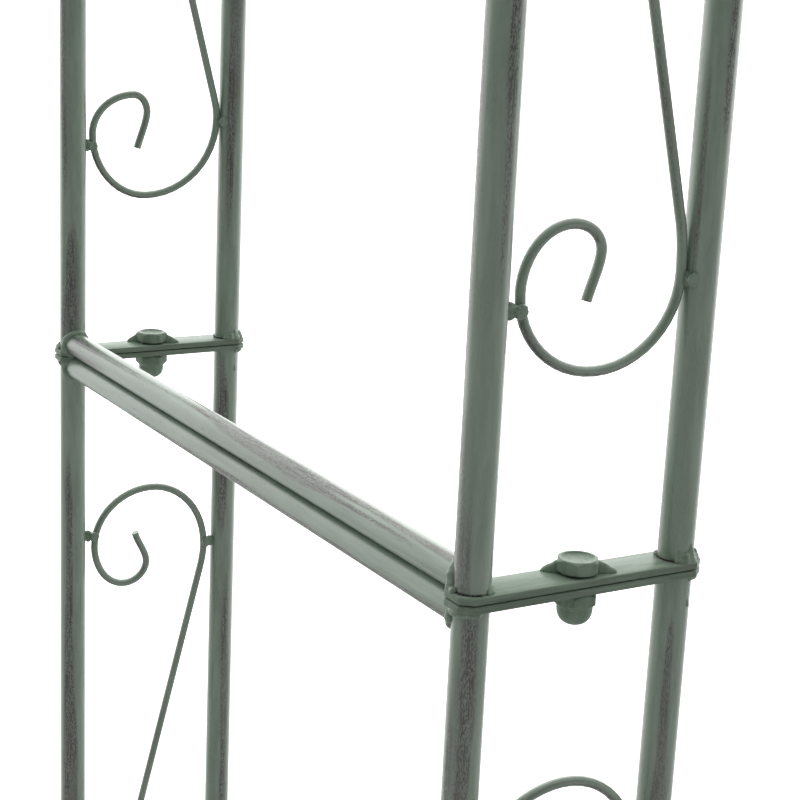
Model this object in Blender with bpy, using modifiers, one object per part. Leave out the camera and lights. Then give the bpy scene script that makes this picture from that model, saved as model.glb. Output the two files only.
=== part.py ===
"""Metal trellis arch: two ladder legs and two half bows of tube, wire scrolls, rungs and bolted joints.

The arch stands on z = 0 and is centred on the origin. X is its span, Y its depth, Z is up. It has a
front and a back frame, one at each end of its depth. Each frame has a left and a right leg panel,
and a left and a right bow panel. A panel is a pair of tubes with a run of S-scrolls between them.

A panel is laid out flat first: "run" is the distance from the leg joint along the panel's middle
line, and "across" is the distance from that line towards the inside of the arch. Every piece is
made once, for the right side, and the left side is the same piece turned half a turn about Z.
"""

from math import ceil, cos, pi, radians, sin, sqrt

import bmesh
import bpy
import numpy as np
from mathutils import Matrix, Vector

# Overall sizes
HALF_SPAN = 0.600           # from the arch's middle to the axis of an outer tube
DEPTH = 0.350               # between the axes of the front and back tubes
LEG_HEIGHT = 1.110          # from the ground to the leg joint
BOW_STRAIGHT = 0.550        # from the leg joint to the start of the bend
CROWN_STRAIGHT = 0.010      # from the end of the bend to the crown's plates
TUBE_SPACING = 0.079        # between the axes of a panel's outer and inner tube

# Tubes and rungs
TUBE_DIAMETER = 0.012
TUBE_WALL = 0.001
RUNG_DIAMETER = 0.0105
FOOT_RUNG_HEIGHT = 0.100    # above the ground

# Flat bar plates that close the ends of the sections
PLATE_WIDTH = 0.015
PLATE_THICKNESS = 0.0025
PLATE_LIP = 0.0015          # how far a plate reaches past the tubes
PLATE_CORNER = 0.004        # radius of a plate's corners

# Bolts and dome nuts
BOLT_DIAMETER = 0.008
HEX_FLATS = 1.625 * BOLT_DIAMETER      # across the flats of a head or a nut
HEAD_HEIGHT = 0.625 * BOLT_DIAMETER
DISH_DIAMETER = 1.05 * BOLT_DIAMETER
DISH_DEPTH = 0.1375 * BOLT_DIAMETER
NUT_HEX_HEIGHT = 0.55 * BOLT_DIAMETER
NUT_HEIGHT = 1.375 * BOLT_DIAMETER
DOME_DIAMETER = 1.4 * BOLT_DIAMETER
BORE_DEPTH = 0.975 * BOLT_DIAMETER
BOLT_TIP_CLEARANCE = 0.0010

# Wire scrolls
WIRE_DIAMETER = 0.0035
SCROLL_MARGIN = 0.070       # from a panel's end to the first curl
LEG_SCROLLS = 3
BOW_SCROLLS = 4
WELD_BITE = 0.0008          # how far two touching scrolls are melted together

# Clearances
FIT_GAP = 0.0003            # between pieces that rest against each other
SEAM = 0.0004               # between the two plates of a joint
RUNG_SEAM = 0.0003          # between the two rungs of a joint
BOLT_CLEARANCE = 0.0003     # round a bolt in its nut
HOLE_CLEARANCE = 0.0006     # round a bolt in a plate

# Facets
TUBE_RESOLUTION = 2         # of a curve's bevel: 8 sides
WIRE_RESOLUTION = 1         # of a curve's bevel: 6 sides
TUBE_SIDES = 2 * (TUBE_RESOLUTION + 2)
ROUND_SIDES = 12
BEND_STEPS = 12             # flats in a quarter bend
QUARTER_STEPS = 3           # flats in a quarter of a curl, a corner or a dome
STRAND_PIECE = 0.070        # longest straight piece of wire on the bend

# Worked out from the sizes above
TUBE_RADIUS = TUBE_DIAMETER / 2
RUNG_RADIUS = RUNG_DIAMETER / 2
WIRE_RADIUS = WIRE_DIAMETER / 2
BOLT_RADIUS = BOLT_DIAMETER / 2
PLATE_FACE = SEAM / 2 + PLATE_THICKNESS         # from a joint's plane to a plate's far face
SECTION_END = PLATE_FACE + FIT_GAP              # from a joint's plane to the tubes' ends
MIDDLE_X = HALF_SPAN - TUBE_SPACING / 2         # a leg panel's middle line
BEND_END = SECTION_END + CROWN_STRAIGHT         # from the crown's plane to the end of the bend
MIDDLE_RADIUS = MIDDLE_X - BEND_END             # of the bend, at the panel's middle line
BEND_LENGTH = MIDDLE_RADIUS * pi / 2
BOW_LENGTH = BOW_STRAIGHT + BEND_LENGTH + BEND_END
SPRING_HEIGHT = LEG_HEIGHT + BOW_STRAIGHT
CROWN_MIDDLE = SPRING_HEIGHT + MIDDLE_RADIUS
OUTER = -TUBE_SPACING / 2                       # "across" of the outer tube
INNER = TUBE_SPACING / 2                        # "across" of the inner tube
CLEAR_HALF_WIDTH = TUBE_SPACING / 2 - TUBE_RADIUS - WIRE_RADIUS - FIT_GAP

# A curl's turning points, as shares of the clear half width: (across, run). The wire touches one
# tube, rounds the curl's end, passes close by the other tube and winds in to a short straight hook.
CURL_SIDE = (1.0, 1.09)
CURL_END = (0.0, 0.0)
CURL_FAR_SIDE = (-0.95, 0.86)
CURL_TOP = (-0.38, 1.51)
CURL_INSIDE = (-0.03, 1.20)
CURL_HOOK = (-0.17, 0.73)
STRAND_START = (0.93, 1.47)

SIDES = {"left": pi, "right": 0.0}
FACES = {"front": -DEPTH / 2, "back": DEPTH / 2}
BOLT_TURN = {"front": radians(19), "back": radians(5)}
NUT_TURN = radians(4)       # of a nut past its bolt's head


def clear_scene():
    """Remove everything that a new Blender scene starts with."""
    for item in list(bpy.data.objects):
        bpy.data.objects.remove(item, do_unlink=True)


def new_collection(name):
    """Add a collection to the scene."""
    collection = bpy.data.collections.new(name)
    bpy.context.scene.collection.children.link(collection)
    return collection


def paint(name, colour, roughness, metallic):
    """Make one sub-part's material."""
    material = bpy.data.materials.new(name)
    material.use_nodes = True
    shader = material.node_tree.nodes["Principled BSDF"]
    shader.inputs["Base Color"].default_value = (*colour, 1.0)
    shader.inputs["Roughness"].default_value = roughness
    shader.inputs["Metallic"].default_value = metallic
    return material


def helper(name, data, matrix=Matrix.Identity(4)):
    """Make an object that only helps to shape a piece."""
    item = bpy.data.objects.new(name, data)
    item.matrix_world = matrix
    item.hide_render = True
    item.display_type = "WIRE"
    CUTTERS.objects.link(item)
    return item


def finished_mesh(item, weld=0.0):
    """Return an object's mesh with its modifiers applied, and remove the object."""
    bpy.context.view_layer.update()
    evaluated = item.evaluated_get(bpy.context.evaluated_depsgraph_get())
    mesh = bpy.data.meshes.new_from_object(evaluated)
    mesh.transform(item.matrix_world)
    if weld:
        work = bmesh.new()
        work.from_mesh(mesh)
        bmesh.ops.remove_doubles(work, verts=work.verts, dist=weld)
        work.to_mesh(mesh)
        work.free()
    bpy.data.objects.remove(item, do_unlink=True)
    return mesh


def combine(base, others, operation, weld=0.0):
    """Join meshes to a base mesh, or cut them out of it, one after the other."""
    for other in others:
        body = helper("body", base)
        tool = helper("tool", other)
        boolean = body.modifiers.new("Boolean", "BOOLEAN")
        boolean.operation = operation
        boolean.solver = "EXACT"
        boolean.object = tool
        base = finished_mesh(body, weld)
        bpy.data.objects.remove(tool, do_unlink=True)
    return base


def prism(radius, bottom, top, sides, top_radius=None):
    """Make a closed upright prism or cone frustum as a mesh."""
    work = bmesh.new()
    bmesh.ops.create_cone(
        work,
        cap_ends=True,
        segments=sides,
        radius1=radius,
        radius2=radius if top_radius is None else top_radius,
        depth=top - bottom,
        matrix=Matrix.Translation((0, 0, (top + bottom) / 2)),
    )
    mesh = bpy.data.meshes.new("prism")
    work.to_mesh(mesh)
    work.free()
    return mesh


def block(low, high):
    """Make a box between two corners as a mesh."""
    low, high = Vector(low), Vector(high)
    work = bmesh.new()
    bmesh.ops.create_cube(work, size=1.0)
    bmesh.ops.scale(work, vec=high - low, verts=work.verts)
    bmesh.ops.translate(work, vec=(low + high) / 2, verts=work.verts)
    mesh = bpy.data.meshes.new("block")
    work.to_mesh(mesh)
    work.free()
    return mesh


def turned(profile, steps):
    """Turn an outline of (radius, height) points about Z into a closed mesh."""
    mesh = bpy.data.meshes.new("profile")
    points = [(radius, 0.0, height) for radius, height in profile]
    mesh.from_pydata(points, [(i, i + 1) for i in range(len(points) - 1)], [])
    item = helper("profile", mesh)
    screw = item.modifiers.new("Screw", "SCREW")
    screw.steps = steps
    screw.render_steps = steps
    screw.use_merge_vertices = True
    screw.merge_threshold = 0.00001
    return finished_mesh(item)


def wire_curve(name, points, radius, resolution, capped):
    """Make a round bar or wire along straight runs between points in the XZ plane."""
    curve = bpy.data.curves.new(name, "CURVE")
    curve.dimensions = "3D"
    curve.bevel_depth = radius
    curve.bevel_resolution = resolution
    curve.use_fill_caps = capped
    spline = curve.splines.new("POLY")
    spline.points.add(len(points) - 1)
    for point, (x, z) in zip(spline.points, points):
        point.co = (x, 0.0, z, 1.0)
    return curve


def smooth(mesh, angle=radians(40)):
    """Shade a round piece smooth, with its sharp edges kept."""
    mesh.shade_smooth()
    mesh.set_sharp_from_angle(angle=angle)
    return mesh


def place(name, data, matrix, material):
    """Add a finished piece to the arch. Copies of a piece share its data, and not its material."""
    item = bpy.data.objects.new(name, data)
    ARCH.objects.link(item)
    item.matrix_world = matrix
    if not data.materials:
        data.materials.append(material)
    item.material_slots[0].link = "OBJECT"
    item.material_slots[0].material = material
    return item


# Where a point of a flat panel lies on the right side of the arch


def on_leg(run, across):
    """Run goes down from the joint."""
    return (MIDDLE_X - across, LEG_HEIGHT - run)


def bend_angle(run):
    """How far a bow has turned from upright at a run from the joint."""
    return min(max((run - BOW_STRAIGHT) / MIDDLE_RADIUS, 0.0), pi / 2)


def on_round_bow(run, across):
    """Run goes up from the joint, round the bend and to the crown, on the true arc."""
    turn = bend_angle(run)
    straight = min(run, BOW_STRAIGHT)
    past_bend = max(run - BOW_STRAIGHT - BEND_LENGTH, 0.0)
    radius = MIDDLE_RADIUS - across
    x = BEND_END + radius * cos(turn) - past_bend
    return (x, LEG_HEIGHT + straight + radius * sin(turn))


BEND_STATIONS = [BOW_STRAIGHT + BEND_LENGTH * step / BEND_STEPS for step in range(BEND_STEPS + 1)]
BOW_STATIONS = [0.0, *BEND_STATIONS, BOW_LENGTH]


def on_bow(run, across):
    """The same on the bend's flats, so that wires and tubes follow one shape."""
    x, z = zip(*(on_round_bow(station, across) for station in BOW_STATIONS))
    return (np.interp(run, BOW_STATIONS, x), np.interp(run, BOW_STATIONS, z))


# Pieces, each made once


def leg_tube(across):
    """A straight tube, closed at the foot and open under the plate."""
    x, top = on_leg(SECTION_END, across)
    bore = TUBE_RADIUS - TUBE_WALL
    outline = [
        (0.0, TUBE_WALL),
        (bore, TUBE_WALL),
        (bore, top),
        (TUBE_RADIUS, top),
        (TUBE_RADIUS, 0.0),
        (0.0, 0.0),
    ]
    mesh = turned(outline, TUBE_SIDES)
    mesh.transform(Matrix.Translation((x, 0, 0)))
    return smooth(mesh)


def bow_tube(across):
    """A tube that runs straight up from the joint and bends over to the crown."""
    runs = [SECTION_END, *BEND_STATIONS, BOW_LENGTH - SECTION_END]
    points = [on_bow(run, across) for run in runs]
    curve = wire_curve("bow_tube", points, TUBE_RADIUS, TUBE_RESOLUTION, capped=False)
    item = helper("bow_tube", curve)
    wall = item.modifiers.new("Wall", "SOLIDIFY")
    wall.thickness = TUBE_WALL
    wall.offset = -1.0
    wall.use_even_offset = True
    return smooth(finished_mesh(item))


def quarter(start, end, from_side):
    """Points after start, up to end, on a quarter of an ellipse between two turning points.

    At a side point the wire runs along the panel, and at an end point it runs across it.
    """
    points = []
    for step in range(1, QUARTER_STEPS + 1):
        turn = step / QUARTER_STEPS * pi / 2
        near, far = (1 - cos(turn), sin(turn)) if from_side else (sin(turn), 1 - cos(turn))
        across = start[0] + (end[0] - start[0]) * near
        run = start[1] + (end[1] - start[1]) * far
        points.append((across, run))
    return points


def curl():
    """Points of one curl as (across, run), from the tip of its hook to its straight strand."""
    points = [CURL_HOOK, CURL_INSIDE]
    points += quarter(CURL_INSIDE, CURL_TOP, from_side=True)
    points += quarter(CURL_TOP, CURL_FAR_SIDE, from_side=False)
    points += quarter(CURL_FAR_SIDE, CURL_END, from_side=True)
    points += quarter(CURL_END, CURL_SIDE, from_side=False)
    points.append(STRAND_START)
    return [(CLEAR_HALF_WIDTH * across, CLEAR_HALF_WIDTH * run) for across, run in points]


def scroll(length, strand_pieces):
    """Points of an S-scroll as (across, run): a curl, a strand, and the same curl turned round."""
    first = curl()
    last = [(-across, length - run) for across, run in reversed(first)]
    strand = []
    for piece in range(1, strand_pieces):
        share = piece / strand_pieces
        across = first[-1][0] + (last[0][0] - first[-1][0]) * share
        run = first[-1][1] + (last[0][1] - first[-1][1]) * share
        strand.append((across, run))
    return first + strand + last


def scrollwork(panel_length, count, on_panel, bent):
    """A run of scrolls of alternate hand, welded to each other where their curls touch."""
    pitch_over = WIRE_DIAMETER - WELD_BITE
    length = (panel_length - 2 * SCROLL_MARGIN - (count - 1) * pitch_over) / count
    strand_pieces = ceil(length / STRAND_PIECE) if bent else 1
    wires = []
    for number in range(count):
        hand = 1 if number % 2 == 0 else -1
        start = SCROLL_MARGIN + number * (length + pitch_over)
        flat = scroll(length, strand_pieces)
        points = [on_panel(start + run, hand * across) for across, run in flat]
        curve = wire_curve("scroll", points, WIRE_RADIUS, WIRE_RESOLUTION, capped=True)
        wires.append(finished_mesh(helper("scroll", curve), weld=0.00001))
    return smooth(combine(wires[0], wires[1:], "UNION", weld=0.00002), angle=radians(70))


def rung_bar(offset):
    """A bar along Y between two outer tubes, at a height above the origin, with coped ends."""
    bar = prism(RUNG_RADIUS, -DEPTH / 2, DEPTH / 2, ROUND_SIDES)
    bar.transform(Matrix.Translation((0, 0, offset)) @ Matrix.Rotation(pi / 2, 4, "X"))
    reach = 4 * RUNG_DIAMETER
    cope_radius = (TUBE_RADIUS + FIT_GAP) / cos(pi / ROUND_SIDES)
    cutters = []
    for y in FACES.values():
        upright = prism(cope_radius, -reach, reach, ROUND_SIDES)
        upright.transform(Matrix.Translation((0, y, 0)))
        cutters.append(upright)
    return bar, cutters


def plain_rung():
    """A rung away from the joints, centred on the origin."""
    bar, cutters = rung_bar(0.0)
    return smooth(combine(bar, cutters, "DIFFERENCE"))


def joint_rung():
    """A rung at a section's end, above the joint's plane, notched over the edges of the plates."""
    bar, cutters = rung_bar(RUNG_RADIUS + RUNG_SEAM / 2)
    reach = PLATE_WIDTH / 2 + FIT_GAP
    for y in FACES.values():
        low = (-PLATE_WIDTH, y - reach, -PLATE_WIDTH)
        high = (PLATE_WIDTH, y + reach, PLATE_FACE + FIT_GAP)
        cutters.append(block(low, high))
    return smooth(combine(bar, cutters, "DIFFERENCE"))


def plate():
    """A flat bar with rounded corners and a bolt hole, just above the joint's plane."""
    half_length = TUBE_SPACING / 2 + TUBE_RADIUS + PLATE_LIP
    half_width = PLATE_WIDTH / 2
    outline = []
    for quarter_turn in range(4):
        sign_x = 1 if quarter_turn in (0, 3) else -1
        sign_y = 1 if quarter_turn in (0, 1) else -1
        for step in range(QUARTER_STEPS + 1):
            angle = (quarter_turn + step / QUARTER_STEPS) * pi / 2
            x = sign_x * (half_length - PLATE_CORNER) + PLATE_CORNER * cos(angle)
            y = sign_y * (half_width - PLATE_CORNER) + PLATE_CORNER * sin(angle)
            outline.append((x, y))
    hole_radius = (BOLT_RADIUS + HOLE_CLEARANCE) / cos(pi / ROUND_SIDES)
    angles = [2 * pi * step / ROUND_SIDES for step in range(ROUND_SIDES)]
    hole = [(hole_radius * cos(angle), hole_radius * sin(angle)) for angle in angles]
    curve = bpy.data.curves.new("plate", "CURVE")
    curve.dimensions = "2D"
    curve.fill_mode = "BOTH"
    curve.extrude = PLATE_THICKNESS / 2
    for points in (outline, hole):
        spline = curve.splines.new("POLY")
        spline.points.add(len(points) - 1)
        spline.use_cyclic_u = True
        for point, (x, y) in zip(spline.points, points):
            point.co = (x, y, 0.0, 1.0)
    middle = Matrix.Translation((0, 0, SEAM / 2 + PLATE_THICKNESS / 2))
    return finished_mesh(helper("plate", curve, middle), weld=0.00001)


def hex_bolt():
    """A bolt through a joint's plane: a dished hex head on top and a plain shank below."""
    seat = PLATE_FACE + FIT_GAP
    top = seat + HEAD_HEIGHT
    tip = -seat - BORE_DEPTH + BOLT_TIP_CLEARANCE
    head = prism(HEX_FLATS / sqrt(3), seat, top, 6)
    shank = prism(BOLT_RADIUS, tip, seat + HEAD_HEIGHT / 2, ROUND_SIDES)
    dish_radius = DISH_DIAMETER / 2
    dish = prism(
        dish_radius - DISH_DEPTH,
        top - DISH_DEPTH,
        top + DISH_DEPTH,
        ROUND_SIDES,
        top_radius=dish_radius + DISH_DEPTH,
    )
    bolt = combine(head, [shank], "UNION")
    return smooth(combine(bolt, [dish], "DIFFERENCE"))


def dome_nut():
    """A nut under a joint's plane: a hex, a dome below it and a blind bore from above."""
    seat = -PLATE_FACE - FIT_GAP
    hexagon = prism(HEX_FLATS / sqrt(3), seat - NUT_HEX_HEIGHT, seat, 6)
    dome_radius = DOME_DIAMETER / 2
    ball_centre = seat - NUT_HEIGHT + dome_radius
    outline = [(0.0, seat - NUT_HEX_HEIGHT / 2), (dome_radius, seat - NUT_HEX_HEIGHT / 2)]
    for step in range(QUARTER_STEPS + 1):
        turn = step / QUARTER_STEPS * pi / 2
        outline.append((dome_radius * cos(turn), ball_centre - dome_radius * sin(turn)))
    outline[-1] = (0.0, seat - NUT_HEIGHT)
    dome = turned(outline, ROUND_SIDES)
    bore_radius = (BOLT_RADIUS + BOLT_CLEARANCE) / cos(pi / ROUND_SIDES)
    bore = prism(bore_radius, seat - BORE_DEPTH, seat + NUT_HEX_HEIGHT, ROUND_SIDES)
    nut = combine(hexagon, [dome], "UNION")
    return smooth(combine(nut, [bore], "DIFFERENCE"))


# Placing the pieces


def build_panels():
    """Tubes, scrollwork and plates of the four leg panels and the four bow panels."""
    pieces = {
        "leg_outer_tube": leg_tube(OUTER),
        "leg_inner_tube": leg_tube(INNER),
        "leg_scrollwork": scrollwork(LEG_HEIGHT, LEG_SCROLLS, on_leg, bent=False),
        "bow_outer_tube": bow_tube(OUTER),
        "bow_inner_tube": bow_tube(INNER),
        "bow_scrollwork": scrollwork(BOW_LENGTH, BOW_SCROLLS, on_bow, bent=True),
    }
    plate_mesh = plate()
    joint_place = Matrix.Translation((MIDDLE_X, 0, LEG_HEIGHT))
    crown_place = Matrix.Translation((0, 0, CROWN_MIDDLE))
    plates = {
        "leg_top_plate": joint_place @ Matrix.Rotation(pi, 4, "Y"),
        "bow_bottom_plate": joint_place,
        "bow_crown_plate": crown_place @ Matrix.Rotation(pi / 2, 4, "Y"),
    }
    for side, half_turn in SIDES.items():
        for face, y in FACES.items():
            panel = Matrix.Translation((0, y, 0)) @ Matrix.Rotation(half_turn, 4, "Z")
            for name, mesh in pieces.items():
                place(f"{name}_{side}_{face}", mesh, panel, TUBE_PAINT if "tube" in name else WIRE_PAINT)
            for name, matrix in plates.items():
                place(f"{name}_{side}_{face}", plate_mesh, panel @ matrix, PLATE_PAINT)


def build_rungs():
    """Six rungs on each side: three on the leg and three on the half bow, all on outer tubes."""
    plain = plain_rung()
    notched = joint_rung()
    middle_height = (FOOT_RUNG_HEIGHT + LEG_HEIGHT) / 2
    shoulder_run = BOW_LENGTH / 2
    shoulder_x, shoulder_z = on_bow(shoulder_run, OUTER)
    lean = Matrix.Rotation(-bend_angle(shoulder_run), 4, "Y")
    joint_place = Matrix.Translation((HALF_SPAN, 0, LEG_HEIGHT))
    crown_place = Matrix.Translation((0, 0, CROWN_MIDDLE + TUBE_SPACING / 2))
    rungs = {
        "leg_foot_rung": (plain, Matrix.Translation((HALF_SPAN, 0, FOOT_RUNG_HEIGHT))),
        "leg_middle_rung": (plain, Matrix.Translation((HALF_SPAN, 0, middle_height))),
        "leg_top_rung": (notched, joint_place @ Matrix.Rotation(pi, 4, "Y")),
        "bow_bottom_rung": (notched, joint_place),
        "bow_shoulder_rung": (plain, Matrix.Translation((shoulder_x, 0, shoulder_z)) @ lean),
        "bow_crown_rung": (notched, crown_place @ Matrix.Rotation(pi / 2, 4, "Y")),
    }
    for side, half_turn in SIDES.items():
        for name, (mesh, matrix) in rungs.items():
            turned_side = Matrix.Rotation(half_turn, 4, "Z")
            place(f"{name}_{side}", mesh, turned_side @ matrix, RUNG_PAINT)


def build_fasteners():
    """A bolt and a dome nut at each leg joint, head up, and at the crown, head to the left."""
    bolt_mesh = hex_bolt()
    nut_mesh = dome_nut()
    for face, y in FACES.items():
        sites = {
            "left": Matrix.Translation((-MIDDLE_X, y, LEG_HEIGHT)),
            "right": Matrix.Translation((MIDDLE_X, y, LEG_HEIGHT)),
            "crown": Matrix.Translation((0, y, CROWN_MIDDLE)) @ Matrix.Rotation(-pi / 2, 4, "Y"),
        }
        for site, matrix in sites.items():
            head_place = matrix @ Matrix.Rotation(BOLT_TURN[face], 4, "Z")
            nut_place = head_place @ Matrix.Rotation(NUT_TURN, 4, "Z")
            place(f"hex_bolt_{site}_{face}", bolt_mesh, head_place, BOLT_PAINT)
            place(f"dome_nut_{site}_{face}", nut_mesh, nut_place, BOLT_PAINT)


clear_scene()
ARCH = new_collection("metal_trellis_arch")
CUTTERS = new_collection("cutters")
SAGE = (0.27, 0.35, 0.28)
TUBE_PAINT = paint("tube_paint", SAGE, 0.45, 0.0)
RUNG_PAINT = paint("rung_paint", SAGE, 0.45, 0.0)
WIRE_PAINT = paint("wire_paint", (0.25, 0.33, 0.26), 0.45, 0.0)
PLATE_PAINT = paint("plate_paint", (0.29, 0.37, 0.30), 0.40, 0.0)
BOLT_PAINT = paint("bolt_paint", (0.26, 0.34, 0.27), 0.40, 0.0)
build_panels()
build_rungs()
build_fasteners()
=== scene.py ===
# %% [markdown]
# # A garden trellis arch in welded, painted steel
# This lesson dresses a finished CAD frame of a rose arch. The frame fixes every size and place, and
# this script gives each piece its round skin, its welds and its paint. We load the frame first,
# and measure from it whatever the later cells need, so nothing here has to be fitted by eye.

# %% Load the frame
from math import ceil, cos, pi, radians, sin, sqrt, tan

import bmesh
import bpy
import numpy as np
from mathutils import Matrix, Vector


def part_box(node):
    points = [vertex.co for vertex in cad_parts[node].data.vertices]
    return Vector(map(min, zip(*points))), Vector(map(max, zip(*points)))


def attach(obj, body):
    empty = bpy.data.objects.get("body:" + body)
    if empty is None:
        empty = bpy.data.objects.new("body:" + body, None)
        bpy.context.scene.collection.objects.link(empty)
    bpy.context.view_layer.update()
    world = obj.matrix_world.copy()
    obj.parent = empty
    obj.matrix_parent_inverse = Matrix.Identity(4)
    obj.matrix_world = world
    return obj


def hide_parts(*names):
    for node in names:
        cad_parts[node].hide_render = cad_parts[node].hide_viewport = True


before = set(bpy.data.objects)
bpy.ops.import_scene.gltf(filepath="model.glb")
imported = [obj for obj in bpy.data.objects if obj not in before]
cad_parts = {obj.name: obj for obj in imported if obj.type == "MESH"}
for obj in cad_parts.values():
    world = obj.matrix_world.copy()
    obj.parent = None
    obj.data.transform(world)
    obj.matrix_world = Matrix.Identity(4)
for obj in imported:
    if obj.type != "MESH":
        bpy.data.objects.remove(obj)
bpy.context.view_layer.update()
MM = 0.001
SIDES = {"left": -1.0, "right": 1.0}
FACES = ("front", "back")
PANELS = [(side, face) for side in SIDES for face in FACES]

# %% [markdown]
# ## Measure the frame
# A welder would put a tape on the frame before cutting anything. We do the same: the tubes' boxes
# give the span, the depth and the tube's diameter, and the plates' boxes give the joints.


# %% Sizes read from the frame
X, Y, Z = 0, 1, 2
OUTER_UPRIGHT = "leg_outer_tube_right_front"
UPPER_PLATE = "bow_bottom_plate_right_front"


def middle(node):
    """The centre of a node's box."""
    low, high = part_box(node)
    return (low + high) / 2


def extent(node, axis):
    """How far a node's box reaches along one axis."""
    low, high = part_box(node)
    return high[axis] - low[axis]


HALF_SPAN = middle(OUTER_UPRIGHT).x
INNER_X = middle("leg_inner_tube_right_front").x
FACE_Y = {face: middle(f"leg_outer_tube_right_{face}").y for face in FACES}
TUBE_RADIUS = extent(OUTER_UPRIGHT, X) / 2
RUNG_RADIUS = extent("leg_foot_rung_left", Z) / 2
WIRE_RADIUS = extent("leg_scrollwork_left_front", Y) / 2
TUBE_SPACING = HALF_SPAN - INNER_X
MIDDLE_X = (HALF_SPAN + INNER_X) / 2
ACROSS = {"outer": -TUBE_SPACING / 2, "inner": TUBE_SPACING / 2}
JOINT_Z = (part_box("leg_top_plate_right_front")[1].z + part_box(UPPER_PLATE)[0].z) / 2
PLATE_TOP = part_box(UPPER_PLATE)[1].z - JOINT_Z
SEAM = 2 * (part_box(UPPER_PLATE)[0].z - JOINT_Z)
SECTION_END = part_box("bow_outer_tube_right_front")[0].z - JOINT_Z
CROWN_MIDDLE = middle("bow_crown_plate_right_front").z
CROWN_STRAIGHT = 10 * MM
BEND_END = SECTION_END + CROWN_STRAIGHT
MIDDLE_RADIUS = MIDDLE_X - BEND_END
BOW_STRAIGHT = CROWN_MIDDLE - MIDDLE_RADIUS - JOINT_Z
BEND_LENGTH = MIDDLE_RADIUS * pi / 2
BOW_LENGTH = BOW_STRAIGHT + BEND_LENGTH + BEND_END
print(f"span {2 * HALF_SPAN:.3f} joint {JOINT_Z:.3f} bend {MIDDLE_RADIUS:.4f} straight {BOW_STRAIGHT:.3f}")
print(f"tube {TUBE_RADIUS:.4f} rung {RUNG_RADIUS:.5f} wire {WIRE_RADIUS:.5f} plate top {PLATE_TOP:.4f}")

# %% [markdown]
# ## Camera first
# The arch is looked at closely: one bolted joint of the left leg fills the view. A long lens
# keeps the uprights almost parallel, and the camera is held a little off level. Setting the camera
# before the pieces lets every later cell be judged in the right frame.

# %% Camera
LENS = 80.4
CAMERA_FROM_JOINT = Vector((-285.6, -430.8, 193.2)) * MM
HEADING = radians(30.8)
TILT = radians(14.3)
ROLL = radians(2.68)


def new_object(name, data):
    """An object that holds some data, linked to the scene."""
    item = bpy.data.objects.new(name, data)
    bpy.context.scene.collection.objects.link(item)
    return item


camera_data = bpy.data.cameras.new("camera")
camera_data.lens = LENS
camera_data.sensor_width = 36.0
camera_data.clip_start = 0.05
camera_data.clip_end = 200.0
camera = new_object("camera", camera_data)
bpy.context.scene.camera = camera
near_joint = Vector((-HALF_SPAN, FACE_Y["front"], JOINT_Z))
heading, tilt = Matrix.Rotation(-HEADING, 4, "Z"), Matrix.Rotation(pi / 2 - TILT, 4, "X")
aim = heading @ tilt @ Matrix.Rotation(ROLL, 4, "Z")
camera.matrix_world = Matrix.Translation(near_joint + CAMERA_FROM_JOINT) @ aim
print("camera at", tuple(round(value, 3) for value in camera.matrix_world.translation))

# %% [markdown]
# ## Studio
# Satin paint shows its surroundings in its edges. A white sweep that glows behind the arch and
# falls off towards the viewer gives tubes with bright rims and a darker middle. The glow is
# a world shader that depends only on direction, so it stays put when the camera walks round. The
# floor is a wide pale disc, which glows a little more where it is seen than where it shines on the
# steel. It isn't part of the object.

# %% Nodes in one line
def set_inputs(tree, node, inputs):
    """Link or set a node's inputs, by name or number."""
    for key, value in dict(inputs).items():
        if isinstance(value, bpy.types.NodeSocket):
            tree.links.new(value, node.inputs[key])
        else:
            node.inputs[key].default_value = value


def add_node(tree, kind, inputs=(), **settings):
    """Add a node, set its settings, and link or set its inputs."""
    node = tree.nodes.new(kind)
    for key, value in settings.items():
        setattr(node, key, value)
    set_inputs(tree, node, inputs)
    return node


def ramp(tree, value, low, high, out_low=0.0, out_high=1.0):
    """A smooth rise from one level to another, while a value goes from low to high."""
    inputs = {"Value": value, "From Min": low, "From Max": high, "To Min": out_low, "To Max": out_high}
    return add_node(tree, "ShaderNodeMapRange", inputs, interpolation_type="SMOOTHSTEP").outputs["Result"]


# %% Studio light and floor
LIGHT_FROM = Vector((0.33, 0.55, 0.77)).normalized()
WINDOW_FROM = Vector((0.50, 0.84, 0.12)).normalized()
SKY_GLOW = (-0.65, 0.85, 0.05, 0.92)
WINDOW_GLOW = (-0.35, 0.98, 0.0, 2.3)
FLOOR_GLOW = (-0.5, 3.0, 0.0, 1.1)
BACKDROP_LEVEL, PAPER_LEVEL = 1.02, 0.42
WHITE = (1.0, 1.0, 1.0, 1.0)
PAPER_GREY = (0.45, 0.45, 0.45, 1.0)
FLOOR_RADIUS = 60.0
bpy.context.scene.view_settings.view_transform = "Standard"


def lobe(tree, direction, toward, glow):
    """Light that grows smoothly from one level to another as a direction nears its middle."""
    near = add_node(tree, "ShaderNodeVectorMath", {0: direction, 1: toward}, operation="DOT_PRODUCT")
    return ramp(tree, near.outputs["Value"], *glow)


def seen_or_shining(tree, shining, seen):
    """One shader for the light that a thing gives, and another for the thing as it is seen."""
    path = tree.nodes.new("ShaderNodeLightPath")
    inputs = {"Fac": path.outputs["Is Camera Ray"], 1: shining, 2: seen}
    return add_node(tree, "ShaderNodeMixShader", inputs).outputs["Shader"]


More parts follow.
